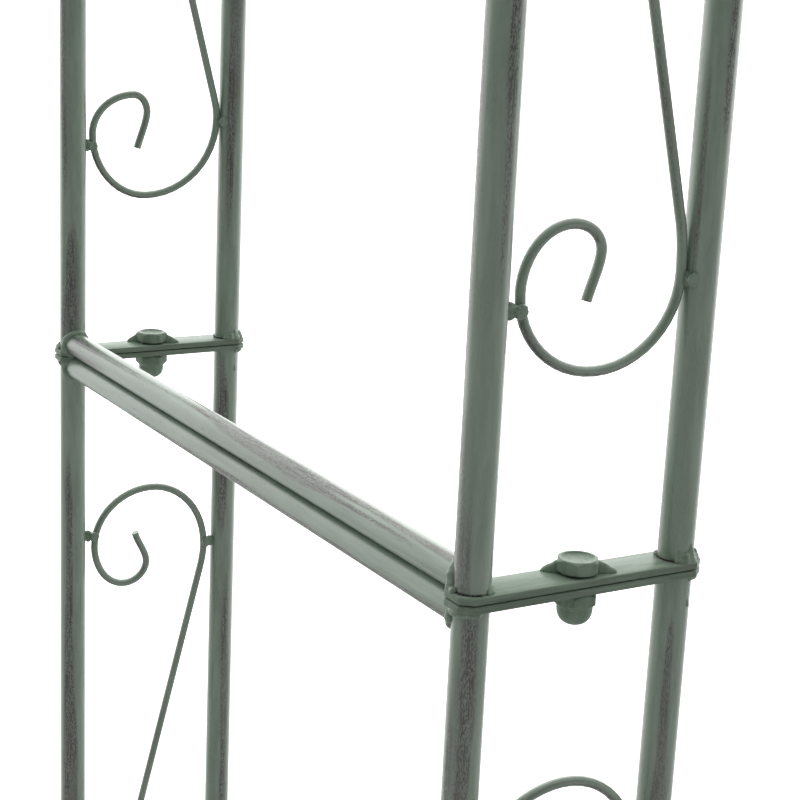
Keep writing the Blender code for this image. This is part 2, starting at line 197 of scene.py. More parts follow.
def build_world():
    """A pale surround: plain white where it is seen, and a soft slope of light where it shines."""
    world = bpy.data.worlds.new("studio")
    bpy.context.scene.world = world
    world.use_nodes = True
    tree = world.node_tree
    tree.nodes.clear()
    direction = tree.nodes.new("ShaderNodeTexCoord").outputs["Generated"]
    sky = lobe(tree, direction, LIGHT_FROM, SKY_GLOW)
    window = lobe(tree, direction, WINDOW_FROM, WINDOW_GLOW)
    total = add_node(tree, "ShaderNodeMath", {0: sky, 1: window})
    shine = add_node(tree, "ShaderNodeBackground", {"Strength": total.outputs["Value"]})
    seen = add_node(tree, "ShaderNodeBackground", {"Color": WHITE, "Strength": BACKDROP_LEVEL})
    surface = seen_or_shining(tree, shine.outputs["Background"], seen.outputs["Background"])
    add_node(tree, "ShaderNodeOutputWorld", {"Surface": surface})


def build_floor():
    """A wide floor of pale paper, lit so that it looks nearly white."""
    bpy.ops.mesh.primitive_circle_add(vertices=96, radius=FLOOR_RADIUS, fill_type="NGON")
    floor = bpy.context.object
    floor.name = "studio_floor"
    material = bpy.data.materials.new("studio_paper")
    material.use_nodes = True
    tree = material.node_tree
    paper = tree.nodes["Principled BSDF"]
    glow = lobe(tree, tree.nodes.new("ShaderNodeTexCoord").outputs["Object"], WINDOW_FROM, FLOOR_GLOW)
    matt = {"Base Color": PAPER_GREY, "Roughness": 0.9, "Specular IOR Level": 0.0}
    set_inputs(tree, paper, matt | {"Emission Color": WHITE, "Emission Strength": glow})
    extra = add_node(tree, "ShaderNodeEmission", {"Strength": PAPER_LEVEL})
    both = add_node(tree, "ShaderNodeAddShader", {0: paper.outputs["BSDF"], 1: extra.outputs["Emission"]})
    surface = seen_or_shining(tree, paper.outputs["BSDF"], both.outputs["Shader"])
    set_inputs(tree, tree.nodes["Material Output"], {"Surface": surface})
    floor.data.materials.append(material)


build_world()
build_floor()
print("sky light rises to", SKY_GLOW[-1], "and window light to", WINDOW_GLOW[-1])

# %% [markdown]
# ## Paint
# The steel is sprayed sage green, and a nearly dry brush of dark umber has been dragged along every
# bar, so the marks run along the tube and gather in patches. A flat colour would look like plastic.
# The marks are layered noise, squeezed along the bar's own direction. Each bar carries a "grain"
# attribute: two numbers round the bar and the distance along it, in metres. The pattern then
# follows bends and curls, which plain object coordinates can't do.


# %% A paint is a few layers of noise
class Paint:
    """A material whose nodes are written in reading order."""

    def __init__(self, name):
        self.material = bpy.data.materials.new(name)
        self.material.use_nodes = True
        self.tree = self.material.node_tree

    def attribute(self, name, output="Vector"):
        """A named attribute of the mesh."""
        return add_node(self.tree, "ShaderNodeAttribute", attribute_name=name).outputs[output]

    def noise(self, vector, marks, girth=1.0, detail=3.0, roughness=0.55, slant=(0.0, 0.0, 0.0)):
        """Noise with so many marks in a metre, across the bar and along it."""
        across, along = marks
        stretch = {"Vector": vector, "Scale": (across * girth, across * girth, along), "Rotation": slant}
        place = add_node(self.tree, "ShaderNodeMapping", stretch).outputs["Vector"]
        inputs = {"Vector": place, "Scale": 1.0, "Detail": detail, "Roughness": roughness}
        return add_node(self.tree, "ShaderNodeTexNoise", inputs).outputs["Fac"]

    def ramp(self, value, *levels):
        """A smooth rise between two levels."""
        return ramp(self.tree, value, *levels)

    def math(self, operation, first, second):
        """A sum, product or maximum of two values."""
        inputs = {0: first, 1: second}
        return add_node(self.tree, "ShaderNodeMath", inputs, operation=operation).outputs["Value"]

    def plus(self, first, second):
        """The sum of two values."""
        return self.math("ADD", first, second)

    def times(self, first, second):
        """The product of two values."""
        return self.math("MULTIPLY", first, second)

    def mix(self, factor, first, second):
        """One colour laid over another."""
        inputs = {"Factor": factor, 6: first, 7: second}
        return add_node(self.tree, "ShaderNodeMix", inputs, data_type="RGBA").outputs[2]

    def finish(self, colour, roughness, height, depth, relief=0.5, shine=0.5, coat=0.0):
        """Feed the shader, and return the finished material."""
        bumps = {"Height": height, "Strength": relief, "Distance": depth}
        bump = add_node(self.tree, "ShaderNodeBump", bumps)
        surface = {"Base Color": colour, "Roughness": roughness, "Normal": bump.outputs["Normal"]}
        gloss = {"Specular IOR Level": shine, "Coat Weight": coat, "Coat Roughness": COAT_ROUGHNESS}
        set_inputs(self.tree, self.tree.nodes["Principled BSDF"], surface | gloss)
        return self.material


# %% [markdown]
# The noise is near one half on average. Each kind of mark shows where its noise rises past the
# first of its two edges, and is full past the second, so raising both makes the marks rarer.

# %% Paint materials
SAGE = (0.185, 0.250, 0.188, 1.0)
PALE_SAGE = (0.242, 0.314, 0.246, 1.0)
BROWN = (0.100, 0.086, 0.080, 1.0)
BLACK = (0.022, 0.018, 0.018, 1.0)
DUST = (0.060, 0.052, 0.048, 1.0)
COAT_ROUGHNESS = 0.22
PATCHES, SOOT, STREAKS = (95.0, 8.0), (150.0, 14.0), (1500.0, 70.0)
MOTTLE, HAIRS, CLOUDS = (2300.0, 800.0), (1400.0, 330.0), (300.0, 40.0)
HAIR_SLANT = (0.45, -0.35, 0.0)
BAND_EDGES, SOOT_EDGES = (0.62, 0.78), (0.62, 0.86)
MOTTLE_EDGES, STREAK_EDGES, HAIR_EDGES = (0.46, 0.60), (0.50, 0.64), (0.60, 0.70)
STRAY_EDGES, STRAY_PLACES = (0.72, 0.78), (0.40, 0.56)
CLOUD_EDGES = (0.35, 0.70)
BROWN_COVER = (0.0, 1.0, 0.36, 0.84)
RUBBED_COVER = (0.35, 0.60, 0.25, 1.0)
SATIN = (0.3, 1.4, 0.27, 0.46)
STROKE_AND_SHADE_PULL = 0.36
BLACK_COVER, STRAY_COVER = 0.78, 0.8
BRUSH_DEPTH, DUST_DEPTH = 0.1 * MM, 0.05 * MM


def brushed_paint(name, wear, girth=1.0, edge_wear=0.0, relief=0.5, shine=0.5, coat=0.0):
    """Sage paint with umber dragged along the grain.

    Wear is how much is marked where no stroke was laid. Girth squeezes the patches round a
    thinner bar. Relief is the strength of the bumps.
    """
    paint = Paint(name)
    grain = paint.attribute("grain")
    patches = paint.noise(grain, PATCHES, girth, detail=2.0, roughness=0.5)
    soot = paint.noise(grain, SOOT, girth, detail=2.0)
    streaks = paint.noise(grain, STREAKS, roughness=0.6)
    mottle = paint.noise(grain, MOTTLE, roughness=0.65)
    clouds = paint.noise(grain, CLOUDS)
    hairs = paint.ramp(paint.noise(grain, HAIRS, detail=2.0, slant=HAIR_SLANT), *HAIR_EDGES)
    # On tubes and rungs this attribute holds brush strokes, and on the wires it holds painted shade on the
    # sides that face away from the light.
    stroke_and_shade = paint.times(paint.attribute("stroke_and_shade", "Fac"), STROKE_AND_SHADE_PULL)
    band = paint.ramp(paint.plus(patches, stroke_and_shade), *(edge - wear for edge in BAND_EDGES))
    dark_band = paint.times(band, paint.ramp(paint.plus(soot, stroke_and_shade), *SOOT_EDGES))
    speckle = paint.math("MAXIMUM", paint.ramp(mottle, *MOTTLE_EDGES), paint.ramp(streaks, *STREAK_EDGES))
    brown_marks = paint.times(band, paint.ramp(speckle, *BROWN_COVER))
    black_marks = paint.times(dark_band, paint.math("MAXIMUM", speckle, hairs))
    stray = paint.times(paint.ramp(mottle, *STRAY_EDGES), paint.ramp(patches, *STRAY_PLACES))
    tone = paint.mix(paint.ramp(clouds, *CLOUD_EDGES), SAGE, PALE_SAGE)
    tone = paint.mix(brown_marks, tone, BROWN)
    tone = paint.mix(paint.times(black_marks, BLACK_COVER), tone, BLACK)
    tone = paint.mix(paint.times(stray, STRAY_COVER), tone, BLACK)
    if edge_wear:
        rubbed = paint.times(paint.attribute("edge", "Fac"), paint.ramp(streaks, *RUBBED_COVER))
        tone = paint.mix(paint.times(rubbed, edge_wear), tone, BROWN)
    roughness = paint.ramp(paint.plus(brown_marks, clouds), *SATIN)
    height = paint.plus(paint.times(mottle, 0.5), paint.times(black_marks, -0.5))
    return paint.finish(tone, roughness, height, BRUSH_DEPTH, relief, shine, coat)


def crack_paint():
    """The dark, dusty inside of a crack in the paint."""
    paint = Paint("dark_crack")
    dust = paint.ramp(paint.noise(paint.attribute("grain"), (900.0, 900.0)), 0.4, 0.7)
    tone = paint.mix(dust, BLACK, DUST)
    return paint.finish(tone, paint.ramp(dust, 0.0, 1.0, 0.7, 0.9), dust, DUST_DEPTH)


TUBE_PAINT = brushed_paint("brushed_sage_tube", wear=0.05, shine=0.8, coat=0.6)
RUNG_PAINT = brushed_paint("brushed_sage_rung", wear=0.06, girth=1.2, shine=0.8, coat=0.1)
WIRE_PAINT = brushed_paint("brushed_sage_wire_painted_shade", wear=0.02, girth=2.2, shine=0.8, coat=0.4)
PLATE_PAINT = brushed_paint("brushed_sage_plate", wear=-0.02, edge_wear=0.38, shine=0.07)
BOLT_PAINT = brushed_paint("brushed_sage_bolt", wear=-0.25, edge_wear=0.16, relief=0.15, shine=0.10)
WELD_PAINT = brushed_paint("brushed_sage_weld", wear=-0.04, shine=0.3)
CRACK_PAINT = crack_paint()
print("paints:", [material.name for material in bpy.data.materials if material.name.startswith("brushed")])

# %% [markdown]
# ## Where a piece lies
# Every panel of the arch is the same flat ladder, bent or not. "Run" is the distance along the
# panel from the leg joint, and "across" is the distance from its middle line towards the inside of
# the arch. Two short functions turn these into places on a leg or on a bow.


# %% From a flat panel to the arch
def on_leg(run, across):
    """Run goes down from the joint."""
    return Vector((MIDDLE_X - across, 0, JOINT_Z - run))


def on_bow(run, across):
    """Run goes up from the joint, round the bend and on to the crown."""
    turn = min(max((run - BOW_STRAIGHT) / MIDDLE_RADIUS, 0.0), pi / 2)
    radius = MIDDLE_RADIUS - across
    past_bend = max(run - BOW_STRAIGHT - BEND_LENGTH, 0.0)
    height = JOINT_Z + min(run, BOW_STRAIGHT) + radius * sin(turn)
    return Vector((BEND_END + radius * cos(turn) - past_bend, 0, height))


def onto_side(side, face):
    """Carry a piece made for the right side at y = 0 to its own side and face."""
    half_turn = 0.0 if side == "right" else pi
    return Matrix.Translation((0, FACE_Y[face], 0)) @ Matrix.Rotation(half_turn, 4, "Z")


print("crown reached at", tuple(round(value, 4) for value in on_bow(BOW_LENGTH, 0.0)))

# %% [markdown]
# ## Round bars with Geometry Nodes
# Tubes, rungs and wires are all a round section drawn along a path, which is what Curve to Mesh does.
# One tree serves them all. Its inputs are the radius, the number of sides and the paint. On the way
# it stores the "grain" attribute: the section's own position plus the distance along the path.


# %% The round bar tree
def tree_with(name, sockets):
    """Start a Geometry Nodes tree with a geometry input, named inputs and a geometry output."""
    tree = bpy.data.node_groups.new(name, "GeometryNodeTree")
    tree.interface.new_socket("Geometry", in_out="INPUT", socket_type="NodeSocketGeometry")
    for label, kind in sockets:
        tree.interface.new_socket(label, in_out="INPUT", socket_type=f"NodeSocket{kind}")
    tree.interface.new_socket("Geometry", in_out="OUTPUT", socket_type="NodeSocketGeometry")
    return tree, tree.nodes.new("NodeGroupInput"), tree.nodes.new("NodeGroupOutput")


def capture(tree, geometry, kind, value):
    """Remember a field on a geometry before it changes shape."""
    node = tree.nodes.new("GeometryNodeCaptureAttribute")
    node.capture_items.new(kind, "Value")
    set_inputs(tree, node, {0: geometry, 1: value})
    return node.outputs[0], node.outputs[1]


def finish_tree(tree, geometry, grain, start, end):
    """End a tree: store the grain, make the geometry real, and paint it."""
    inputs = {"Geometry": geometry, "Name": "grain", "Value": grain}
    kind = {"data_type": "FLOAT_VECTOR", "domain": "POINT"}
    store = add_node(tree, "GeometryNodeStoreNamedAttribute", inputs, **kind)
    real = add_node(tree, "GeometryNodeRealizeInstances", {0: store.outputs[0]})
    inputs = {"Geometry": real.outputs[0], "Material": start.outputs["Paint"]}
    paint = add_node(tree, "GeometryNodeSetMaterial", inputs)
    tree.links.new(paint.outputs[0], end.inputs[0])


def round_bar_tree():
    """Edges in, round painted bars out."""
    sockets = [("Radius", "Float"), ("Sides", "Int"), ("Grain Start", "Vector"), ("Paint", "Material")]
    tree, start, end = tree_with("round_bar", sockets)
    path = add_node(tree, "GeometryNodeMeshToCurve", {"Mesh": start.outputs["Geometry"]})
    length = tree.nodes.new("GeometryNodeSplineParameter")
    path_out, along = capture(tree, path.outputs[0], "FLOAT", length.outputs["Length"])
    ring_inputs = {"Resolution": start.outputs["Sides"], "Radius": start.outputs["Radius"]}
    ring = add_node(tree, "GeometryNodeCurvePrimitiveCircle", ring_inputs)
    position = tree.nodes.new("GeometryNodeInputPosition")
    ring_out, around = capture(tree, ring.outputs[0], "VECTOR", position.outputs[0])
    sweep_inputs = {"Curve": path_out, "Profile Curve": ring_out, "Fill Caps": True}
    sweep = add_node(tree, "GeometryNodeCurveToMesh", sweep_inputs)
    rise = add_node(tree, "ShaderNodeCombineXYZ", {"Z": along})
    grain = around
    for step in (rise.outputs[0], start.outputs["Grain Start"]):
        grain = add_node(tree, "ShaderNodeVectorMath", {0: grain, 1: step}, operation="ADD").outputs[0]
    finish_tree(tree, sweep.outputs[0], grain, start, end)
    return tree


ROUND_BAR = round_bar_tree()
print("tree", ROUND_BAR.name, "has", len(ROUND_BAR.nodes), "nodes")

# %% [markdown]
# A tree is only a recipe. To use it we make an object that holds the path, give it the tree as a
# modifier, fill in the inputs by their identifiers, and read back the plain mesh that results.
# Short helpers then store numbers at the mesh's vertices, for the paint to read.


# %% Baking a tree to a plain mesh
def plain_mesh(item):
    """Read back an object's mesh with its modifiers applied, and clear the object away."""
    bpy.context.view_layer.update()
    mesh = bpy.data.meshes.new_from_object(item.evaluated_get(bpy.context.evaluated_depsgraph_get()))
    bpy.data.objects.remove(item, do_unlink=True)
    return mesh


def bake(tree, seed_mesh, values):
    """Run a tree on a mesh with the given named inputs, and return the finished mesh."""
    item = new_object("recipe", seed_mesh)
    modifier = item.modifiers.new(tree.name, "NODES")
    modifier.node_group = tree
    for socket in tree.interface.items_tree:
        if socket.in_out == "INPUT" and socket.name in values:
            modifier[socket.identifier] = values[socket.name]
    item.update_tag()
    return plain_mesh(item)


def polyline(paths):
    """A mesh of open chains of edges, one for each list of points."""
    points, edges = [], []
    for path in paths:
        first = len(points)
        points += [tuple(point) for point in path]
        edges += [(first + i, first + i + 1) for i in range(len(path) - 1)]
    mesh = bpy.data.meshes.new("path")
    mesh.from_pydata(points, edges, [])
    return mesh


GRAIN_STEP = (0.37, 0.19, 1.7)


def smooth(mesh, angle):
    """Shade a mesh smooth, and keep the edges sharper than an angle."""
    mesh.shade_smooth()
    mesh.set_sharp_from_angle(angle=radians(angle))


def round_bar(paths, radius, sides, paint, number):
    """Round bars along paths. The number keeps the paint of two bars from matching."""
    start = tuple(number * step for step in GRAIN_STEP)
    values = {"Radius": radius, "Sides": sides, "Grain Start": start, "Paint": paint}
    mesh = bake(ROUND_BAR, polyline(paths), values)
    smooth(mesh, 50)
    return mesh


# %% Attributes, and a piece's place in the scene
def store_vectors(mesh, name, vectors):
    """Store a vector for each vertex as a named attribute."""
    layer = mesh.attributes.new(name, "FLOAT_VECTOR", "POINT")
    layer.data.foreach_set("vector", np.asarray(vectors, dtype=np.float32).ravel())


def store_numbers(mesh, name, numbers):
    """Store a number for each vertex as a named attribute."""
    layer = mesh.attributes.new(name, "FLOAT", "POINT")
    layer.data.foreach_set("value", np.asarray(numbers, dtype=np.float32))


def vertices_of(mesh):
    """The mesh's vertices as an array."""
    flat = np.zeros(len(mesh.vertices) * 3, np.float32)
    mesh.vertices.foreach_get("co", flat)
    return flat.reshape(-1, 3)


def add_piece(name, mesh, matrix, nodes=()):
    """Put a finished mesh in the scene, on the arch's one body, in place of its CAD nodes."""
    mesh.transform(matrix)
    piece = new_object(name, mesh)
    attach(piece, "root")
    if nodes:
        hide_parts(*nodes)


# %% [markdown]
# ## Brush strokes
# On the real arch the dark colour was wiped on by hand, one long stroke at a time, so each tube has
# a few streaks with soft ends. A stroke is an angle round the bar, a start, a stop, a spread in
# degrees and a strength. Each tube and rung stores the sum as an attribute, which the paint
# breaks up with its noise; the wires keep painted shade in that attribute instead. Some strokes
# are set by hand, and the rest come from a seeded generator.

# %% Strokes
painter = np.random.default_rng(23)
BRUSH_SOFTNESS = 1.25
FADE = 50 * MM
STROKE_PITCH = 0.16
STROKE_WANDER = 0.06
STROKE_REACH = (0.09, 0.30)
STROKE_SPREAD = (10, 28)
STROKE_STRENGTH = (0.35, 1.0)


def stroke_weight(angles, runs, strokes):
    """How strongly each vertex is brushed, from its angle in degrees and its run."""
    weight = np.zeros_like(angles)
    for angle, start, stop, spread, strength in strokes:
        apart = np.abs((angles - angle + 180) % 360 - 180) / (BRUSH_SOFTNESS * spread)
        fade = min(FADE, 0.3 * (stop - start))
        along = np.clip(np.minimum(runs - start, stop - runs) / fade, 0, 1)
        weight = np.maximum(weight, strength * np.exp(-(apart**2)) * along**2 * (3 - 2 * along))
    return weight


def random_strokes(length, first=0.0):
    """A stroke or two for every quarter of a metre."""
    strokes = []
    for start in np.arange(first, length, STROKE_PITCH):
        begin = start + painter.uniform(-STROKE_WANDER, STROKE_WANDER)
        reach = painter.uniform(*STROKE_REACH)
        spread, strength = painter.uniform(*STROKE_SPREAD), painter.uniform(*STROKE_STRENGTH)
        strokes.append((painter.uniform(0, 360), begin, begin + reach, spread, strength))
    return strokes


HAND_STROKES = {
    ("bow", "outer", "front"): [(-18, -0.05, 0.36, 20, 0.70), (86, 0.05, 0.42, 18, 0.55)],
    ("leg", "outer", "front"): [
        (62, -0.08, 0.42, 27, 0.85),
        (5, 0.02, 0.13, 14, 0.7),
        (48, 0.10, 0.36, 12, 1.0),
    ],
    ("bow", "inner", "front"): [
        (90, 0.11, 0.60, 19, 1.0),
        (30, 0.08, 0.17, 7, 0.9),
        (-25, -0.06, 0.12, 16, 0.6),
    ],
    ("leg", "inner", "front"): [
        (58, 0.005, 0.075, 11, 1.0),
        (66, 0.05, 0.42, 20, 1.0),
        (45, 0.16, 0.34, 16, 1.0),
    ],
    ("bow", "outer", "back"): [
        (58, 0.0, 0.07, 26, 1.0),
        (22, -0.04, 0.32, 20, 0.8),
        (75, 0.16, 0.40, 12, 0.8),
    ],
    ("leg", "outer", "back"): [(50, 0.02, 0.40, 20, 0.95), (80, 0.16, 0.40, 12, 0.7)],
    ("bow", "inner", "back"): [(66, 0.03, 0.26, 17, 0.7), (110, 0.15, 0.40, 16, 0.8)],
    ("leg", "inner", "back"): [(58, 0.005, 0.11, 24, 0.85), (88, 0.09, 0.40, 14, 0.85)],
}
HAND_LENGTH = 0.36

# %% [markdown]
# ## Uprights and bows
# A leg tube is a straight cut of round tube. A bow tube is straight for the first half metre, and
# is then rolled to a quarter circle. Sixty short steps make the bend look rolled and not folded.
# The straight parts have a point every few millimetres as well, where a brush stroke can fade.

# %% Tubes
TUBE_SIDES = 40
BEND_STEPS = 60
STRAIGHT_STEP = 9 * MM


def even_runs(start, stop):
    """Points along a straight stretch, close enough together for strokes to have soft ends."""
    steps = ceil((stop - start) / STRAIGHT_STEP)
    return [start + (stop - start) * step / steps for step in range(steps + 1)]


LEG_RUNS = even_runs(SECTION_END, JOINT_Z)
BEND_RUNS = [BOW_STRAIGHT + BEND_LENGTH * step / BEND_STEPS for step in range(1, BEND_STEPS + 1)]
BOW_RUNS = [*even_runs(SECTION_END, BOW_STRAIGHT), *BEND_RUNS, BOW_LENGTH - SECTION_END]
TUBE_PARTS = (("leg", on_leg, LEG_RUNS, 0), ("bow", on_bow, BOW_RUNS, 20))


def brush_tube(mesh, part, across, strokes):
    """Store a tube's strokes. Zero degrees faces outwards, and ninety faces along Y."""
    x, y, z = vertices_of(mesh).T
    if part == "leg":
        runs, off = JOINT_Z - z, x - (MIDDLE_X - across)
    else:
        over, rise = x - BEND_END, z - JOINT_Z - BOW_STRAIGHT
        turn = np.arctan2(np.maximum(rise, 0), np.maximum(over, 0))
        past = np.maximum(-over, 0)
        runs = np.where(rise < 0, z - JOINT_Z, BOW_STRAIGHT + MIDDLE_RADIUS * turn + past)
        reach = np.where(rise < 0, over, np.hypot(np.maximum(over, 0), rise))
        off = reach - (MIDDLE_RADIUS - across)
    angles = np.degrees(np.arctan2(y, off))
    store_numbers(mesh, "stroke_and_shade", stroke_weight(angles, runs, strokes))


def build_tubes():
    """The eight leg tubes and the eight bow tubes."""
    number = 0
    for side, face in PANELS:
        for name, across in ACROSS.items():
            number += 1
            for part, place, runs, offset in TUBE_PARTS:
                node = f"{part}_{name}_tube_{side}_{face}"
                path = [place(run, across) for run in runs]
                mesh = round_bar([path], TUBE_RADIUS, TUBE_SIDES, TUBE_PAINT, number + offset)
                by_hand = HAND_STROKES[part, name, face] if side == "left" else []
                rest = random_strokes(BOW_LENGTH, HAND_LENGTH if by_hand else 0.0)
                brush_tube(mesh, part, across, by_hand + rest)
                add_piece(f"round_{node}", mesh, onto_side(side, face), [node])
    print("tubes:", 2 * number)


build_tubes()

# %% [markdown]
# ## Rungs
# The rungs tie the front frame to the back frame on the outer side, and climbing plants hold on to
# them. At each joint there are two, one for each section, and they lie on top of one another.


# %% Rungs
RUNG_NAMES = ("leg_foot", "leg_middle", "leg_top", "bow_bottom", "bow_shoulder", "bow_crown")
RUNGS = [(side, name) for side in SIDES for name in RUNG_NAMES]
RUNG_LENGTH = FACE_Y["back"] - FACE_Y["front"]
RUNG_STEPS, RUNG_SIDES = 40, 36
RUNG_STROKES = {
    "bow_bottom_rung_left": [(112, -0.1, 0.30, 16, 0.8), (140, 0.0, 0.20, 9, 0.9), (128, 0.2, 0.45, 12, 0.9)],
    "leg_top_rung_left": [(214, -0.1, 0.30, 16, 0.85), (196, 0.12, 0.45, 10, 0.7)],
}


def build_rungs():
    """Twelve rungs, each between the axes of two outer tubes, so that its ends are buried."""
    for count, (side, name) in enumerate(RUNGS):
        node = f"{name}_rung_{side}"
        centre = middle(node)
        ends = [Vector((centre.x, FACE_Y[face], centre.z)) for face in FACES]
        path = [ends[0].lerp(ends[1], step / RUNG_STEPS) for step in range(RUNG_STEPS + 1)]
        mesh = round_bar([path], RUNG_RADIUS, RUNG_SIDES, RUNG_PAINT, 50 + count)
        x, y, z = vertices_of(mesh).T
        angles = np.degrees(np.arctan2(z - centre.z, x - centre.x))
        by_chance = random_strokes(RUNG_LENGTH)
        strokes = RUNG_STROKES.get(node, by_chance)
        store_numbers(mesh, "stroke_and_shade", stroke_weight(angles, y - FACE_Y["front"], strokes))
        add_piece(f"round_{node}", mesh, Matrix.Identity(4), [node])
    print("rungs:", len(RUNGS))


build_rungs()

# %% [markdown]
# ## Wire scrolls
# Each scroll is one length of wire, bent round pins on a jig into a curl at either end and a
# straight strand between. A curl passes through five turning points, and a quarter of an ellipse
# joins each to the next. The last turn inwards and the first bend off the strand are gentle, so
# they are drawn as Hermite curves, which need only two points and two directions.

# %% Scroll wires
CLEAR_HALF_WIDTH = TUBE_SPACING / 2 - TUBE_RADIUS - WIRE_RADIUS
SCROLL_MARGIN = 70 * MM
WELD_BITE = 0.8 * MM
LEG_SCROLLS, BOW_SCROLLS = 3, 4
TURNING_POINTS = ("side", "end", "far_side", "top", "inside", "hook", "strand")


def bend(*points):
    """The turning points of a curl, by name, from the middle of its end, as shares of its half width."""
    return dict(zip(TURNING_POINTS, points, strict=True))


JIG = bend(
    (1.0, 1.09), (0.0, 0.0), (-0.95, 0.86), (-0.38, 1.51), (-0.03, 1.20), (-0.17, 0.73), (0.93, 1.47)
)
LOW = bend(
    (1.0, 0.86), (0.02, -0.05), (-0.90, 0.78), (-0.34, 1.41), (0.01, 1.14), (-0.13, 0.65), (0.95, 1.36)
)
HIGH = bend(
    (1.0, 1.24), (-0.12, 0.12), (-0.95, 1.03), (-0.32, 1.59), (-0.11, 1.34), (-0.26, 0.81), (0.94, 1.60)
)
NARROW = bend(
    (0.92, 1.05), (0.0, 0.0), (-0.90, 0.84), (-0.40, 1.51), (-0.05, 1.19), (-0.24, 0.71), (0.86, 1.45)
)
KNOWN_BENDS = {
    ("bow", "left", "front", 0): LOW,
    ("bow", "left", "back", 0): HIGH,
    ("leg", "left", "back", 0): NARROW,
}
WOBBLE = (0.025, 0.03)
HOOK_START, HOOK_EASE, STRAND_EASE = Vector((0.10, 0.42)), 0.42, 0.4
QUARTER_STEPS, HOOK_STEPS, STRAND_STEPS = 12, 8, 6
STRAND_PITCH = 12 * MM
unsteady = np.random.default_rng(5)


def quarter(start, end, from_side):
    """A quarter of an ellipse after start. At a side point the wire runs along the panel."""
    points = []
    for step in range(1, QUARTER_STEPS + 1):
        turn = step / QUARTER_STEPS * pi / 2
        share = Vector((1 - cos(turn), sin(turn))) if from_side else Vector((sin(turn), 1 - cos(turn)))
        points.append(start + (end - start) * share)
    return points


def hermite(start, start_way, end, end_way, steps):
    """A gentle curve after start that leaves and arrives in the given directions."""
    points = []
    for step in range(1, steps + 1):
        t = step / steps
        weights = (2 * t**3 - 3 * t**2 + 1, t**3 - 2 * t**2 + t, 3 * t**2 - 2 * t**3, t**3 - t**2)
        points.append(weights[0] * start + weights[1] * start_way + weights[2] * end + weights[3] * end_way)
    return points


def bend_of(part, side, face, number, end):
    """The turning points of one curl: the jig's own, a known one, or the jig's a little off."""
    if end == "start" and (part, side, face, number) in KNOWN_BENDS:
        shape = KNOWN_BENDS[part, side, face, number]
        return {name: Vector(point) for name, point in shape.items()}
    shape = {}
    for name, point in JIG.items():
        wobble = [unsteady.uniform(-size, size) for size in WOBBLE]
        shape[name] = Vector(point) + Vector(wobble)
    shape["side"].x = JIG["side"][0]
    shape["end"].y = JIG["end"][1]
    return shape


def curl(shape, strand_slope):
    """Points of a curl from the tip of its hook to the start of its strand, as shares of the width."""
    down = Vector((0.0, 1.0))
    points = [shape["hook"]]
    points += hermite(shape["hook"], HOOK_START, shape["inside"], down * HOOK_EASE, HOOK_STEPS)
    points += quarter(shape["inside"], shape["top"], from_side=True)
    points += quarter(shape["top"], shape["far_side"], from_side=False)
    points += quarter(shape["far_side"], shape["end"], from_side=True)
    points += quarter(shape["end"], shape["side"], from_side=False)
    leave = Vector((-strand_slope, 1.0)) * STRAND_EASE
    points += hermite(shape["side"], down * STRAND_EASE, shape["strand"], leave, STRAND_STEPS)
    return [point * CLEAR_HALF_WIDTH for point in points]


def scroll(length, first_shape, last_shape):
    """Points of a whole scroll: a curl, a strand, and a second curl turned round."""
    begin = first_shape["strand"] * CLEAR_HALF_WIDTH
    finish = Vector((0, length)) - last_shape["strand"] * CLEAR_HALF_WIDTH
    slope = (begin.x - finish.x) / (finish.y - begin.y)
    first = curl(first_shape, slope)
    last = [Vector((-point.x, length - point.y)) for point in reversed(curl(last_shape, slope))]
    pieces = ceil(length / STRAND_PITCH)
    strand = [first[-1].lerp(last[0], piece / pieces) for piece in range(1, pieces)]
    return first + strand + last


# %% Panels of scrolls
SCROLL_JOBS = (("leg", JOINT_Z, LEG_SCROLLS, on_leg), ("bow", BOW_LENGTH, BOW_SCROLLS, on_bow))
BUTTON_SHIFT = {"side": -0.05, "far_side": -0.17}
WIRE_SIDES = 16
# How strongly the painted shade on the wires grows as their sides turn down and away from the light.
SHADE_GAIN, SHADE_LOSS = 1.7, 0.55


def scroll_layout(panel_length, count):
    """The length of one scroll, and where each starts along its panel."""
    pitch_over = 2 * WIRE_RADIUS - WELD_BITE
    length = (panel_length - 2 * SCROLL_MARGIN - (count - 1) * pitch_over) / count
    return length, [SCROLL_MARGIN + number * (length + pitch_over) for number in range(count)]


def contacts_of(shape, hand, run_of, sign):
    """Where a curl comes near its two tubes: run, the gap's middle, half the gap, and the tube's side."""
    contacts = []
    for name, outward in (("side", 1), ("far_side", -1)):
        wire = outward * (abs(shape[name].x) * CLEAR_HALF_WIDTH + WIRE_RADIUS)
        tube = outward * (TUBE_SPACING / 2 - TUBE_RADIUS)
        run = run_of((shape[name].y + BUTTON_SHIFT[name]) * CLEAR_HALF_WIDTH)
        half_gap, way = outward * (tube - wire) / 2, hand * sign
        contacts.append((run, way * (wire + tube) / 2, half_gap, way * outward))
    return contacts


def shade_wire_undersides(mesh, side):
    """Painted shade: the wires' sides that face down, left and to the front, away from the light, get the
    dark brushed marks.
    """
    normals = np.zeros(len(mesh.vertices) * 3, np.float32)
    mesh.vertices.foreach_get("normal", normals)
    shaded_way = Vector((-0.45 * SIDES[side], -0.25 * SIDES[side], -0.86))
    facing = normals.reshape(-1, 3) @ np.array(shaded_way, np.float32)
    store_numbers(mesh, "stroke_and_shade", np.clip(facing * SHADE_GAIN - SHADE_LOSS, 0, 1))


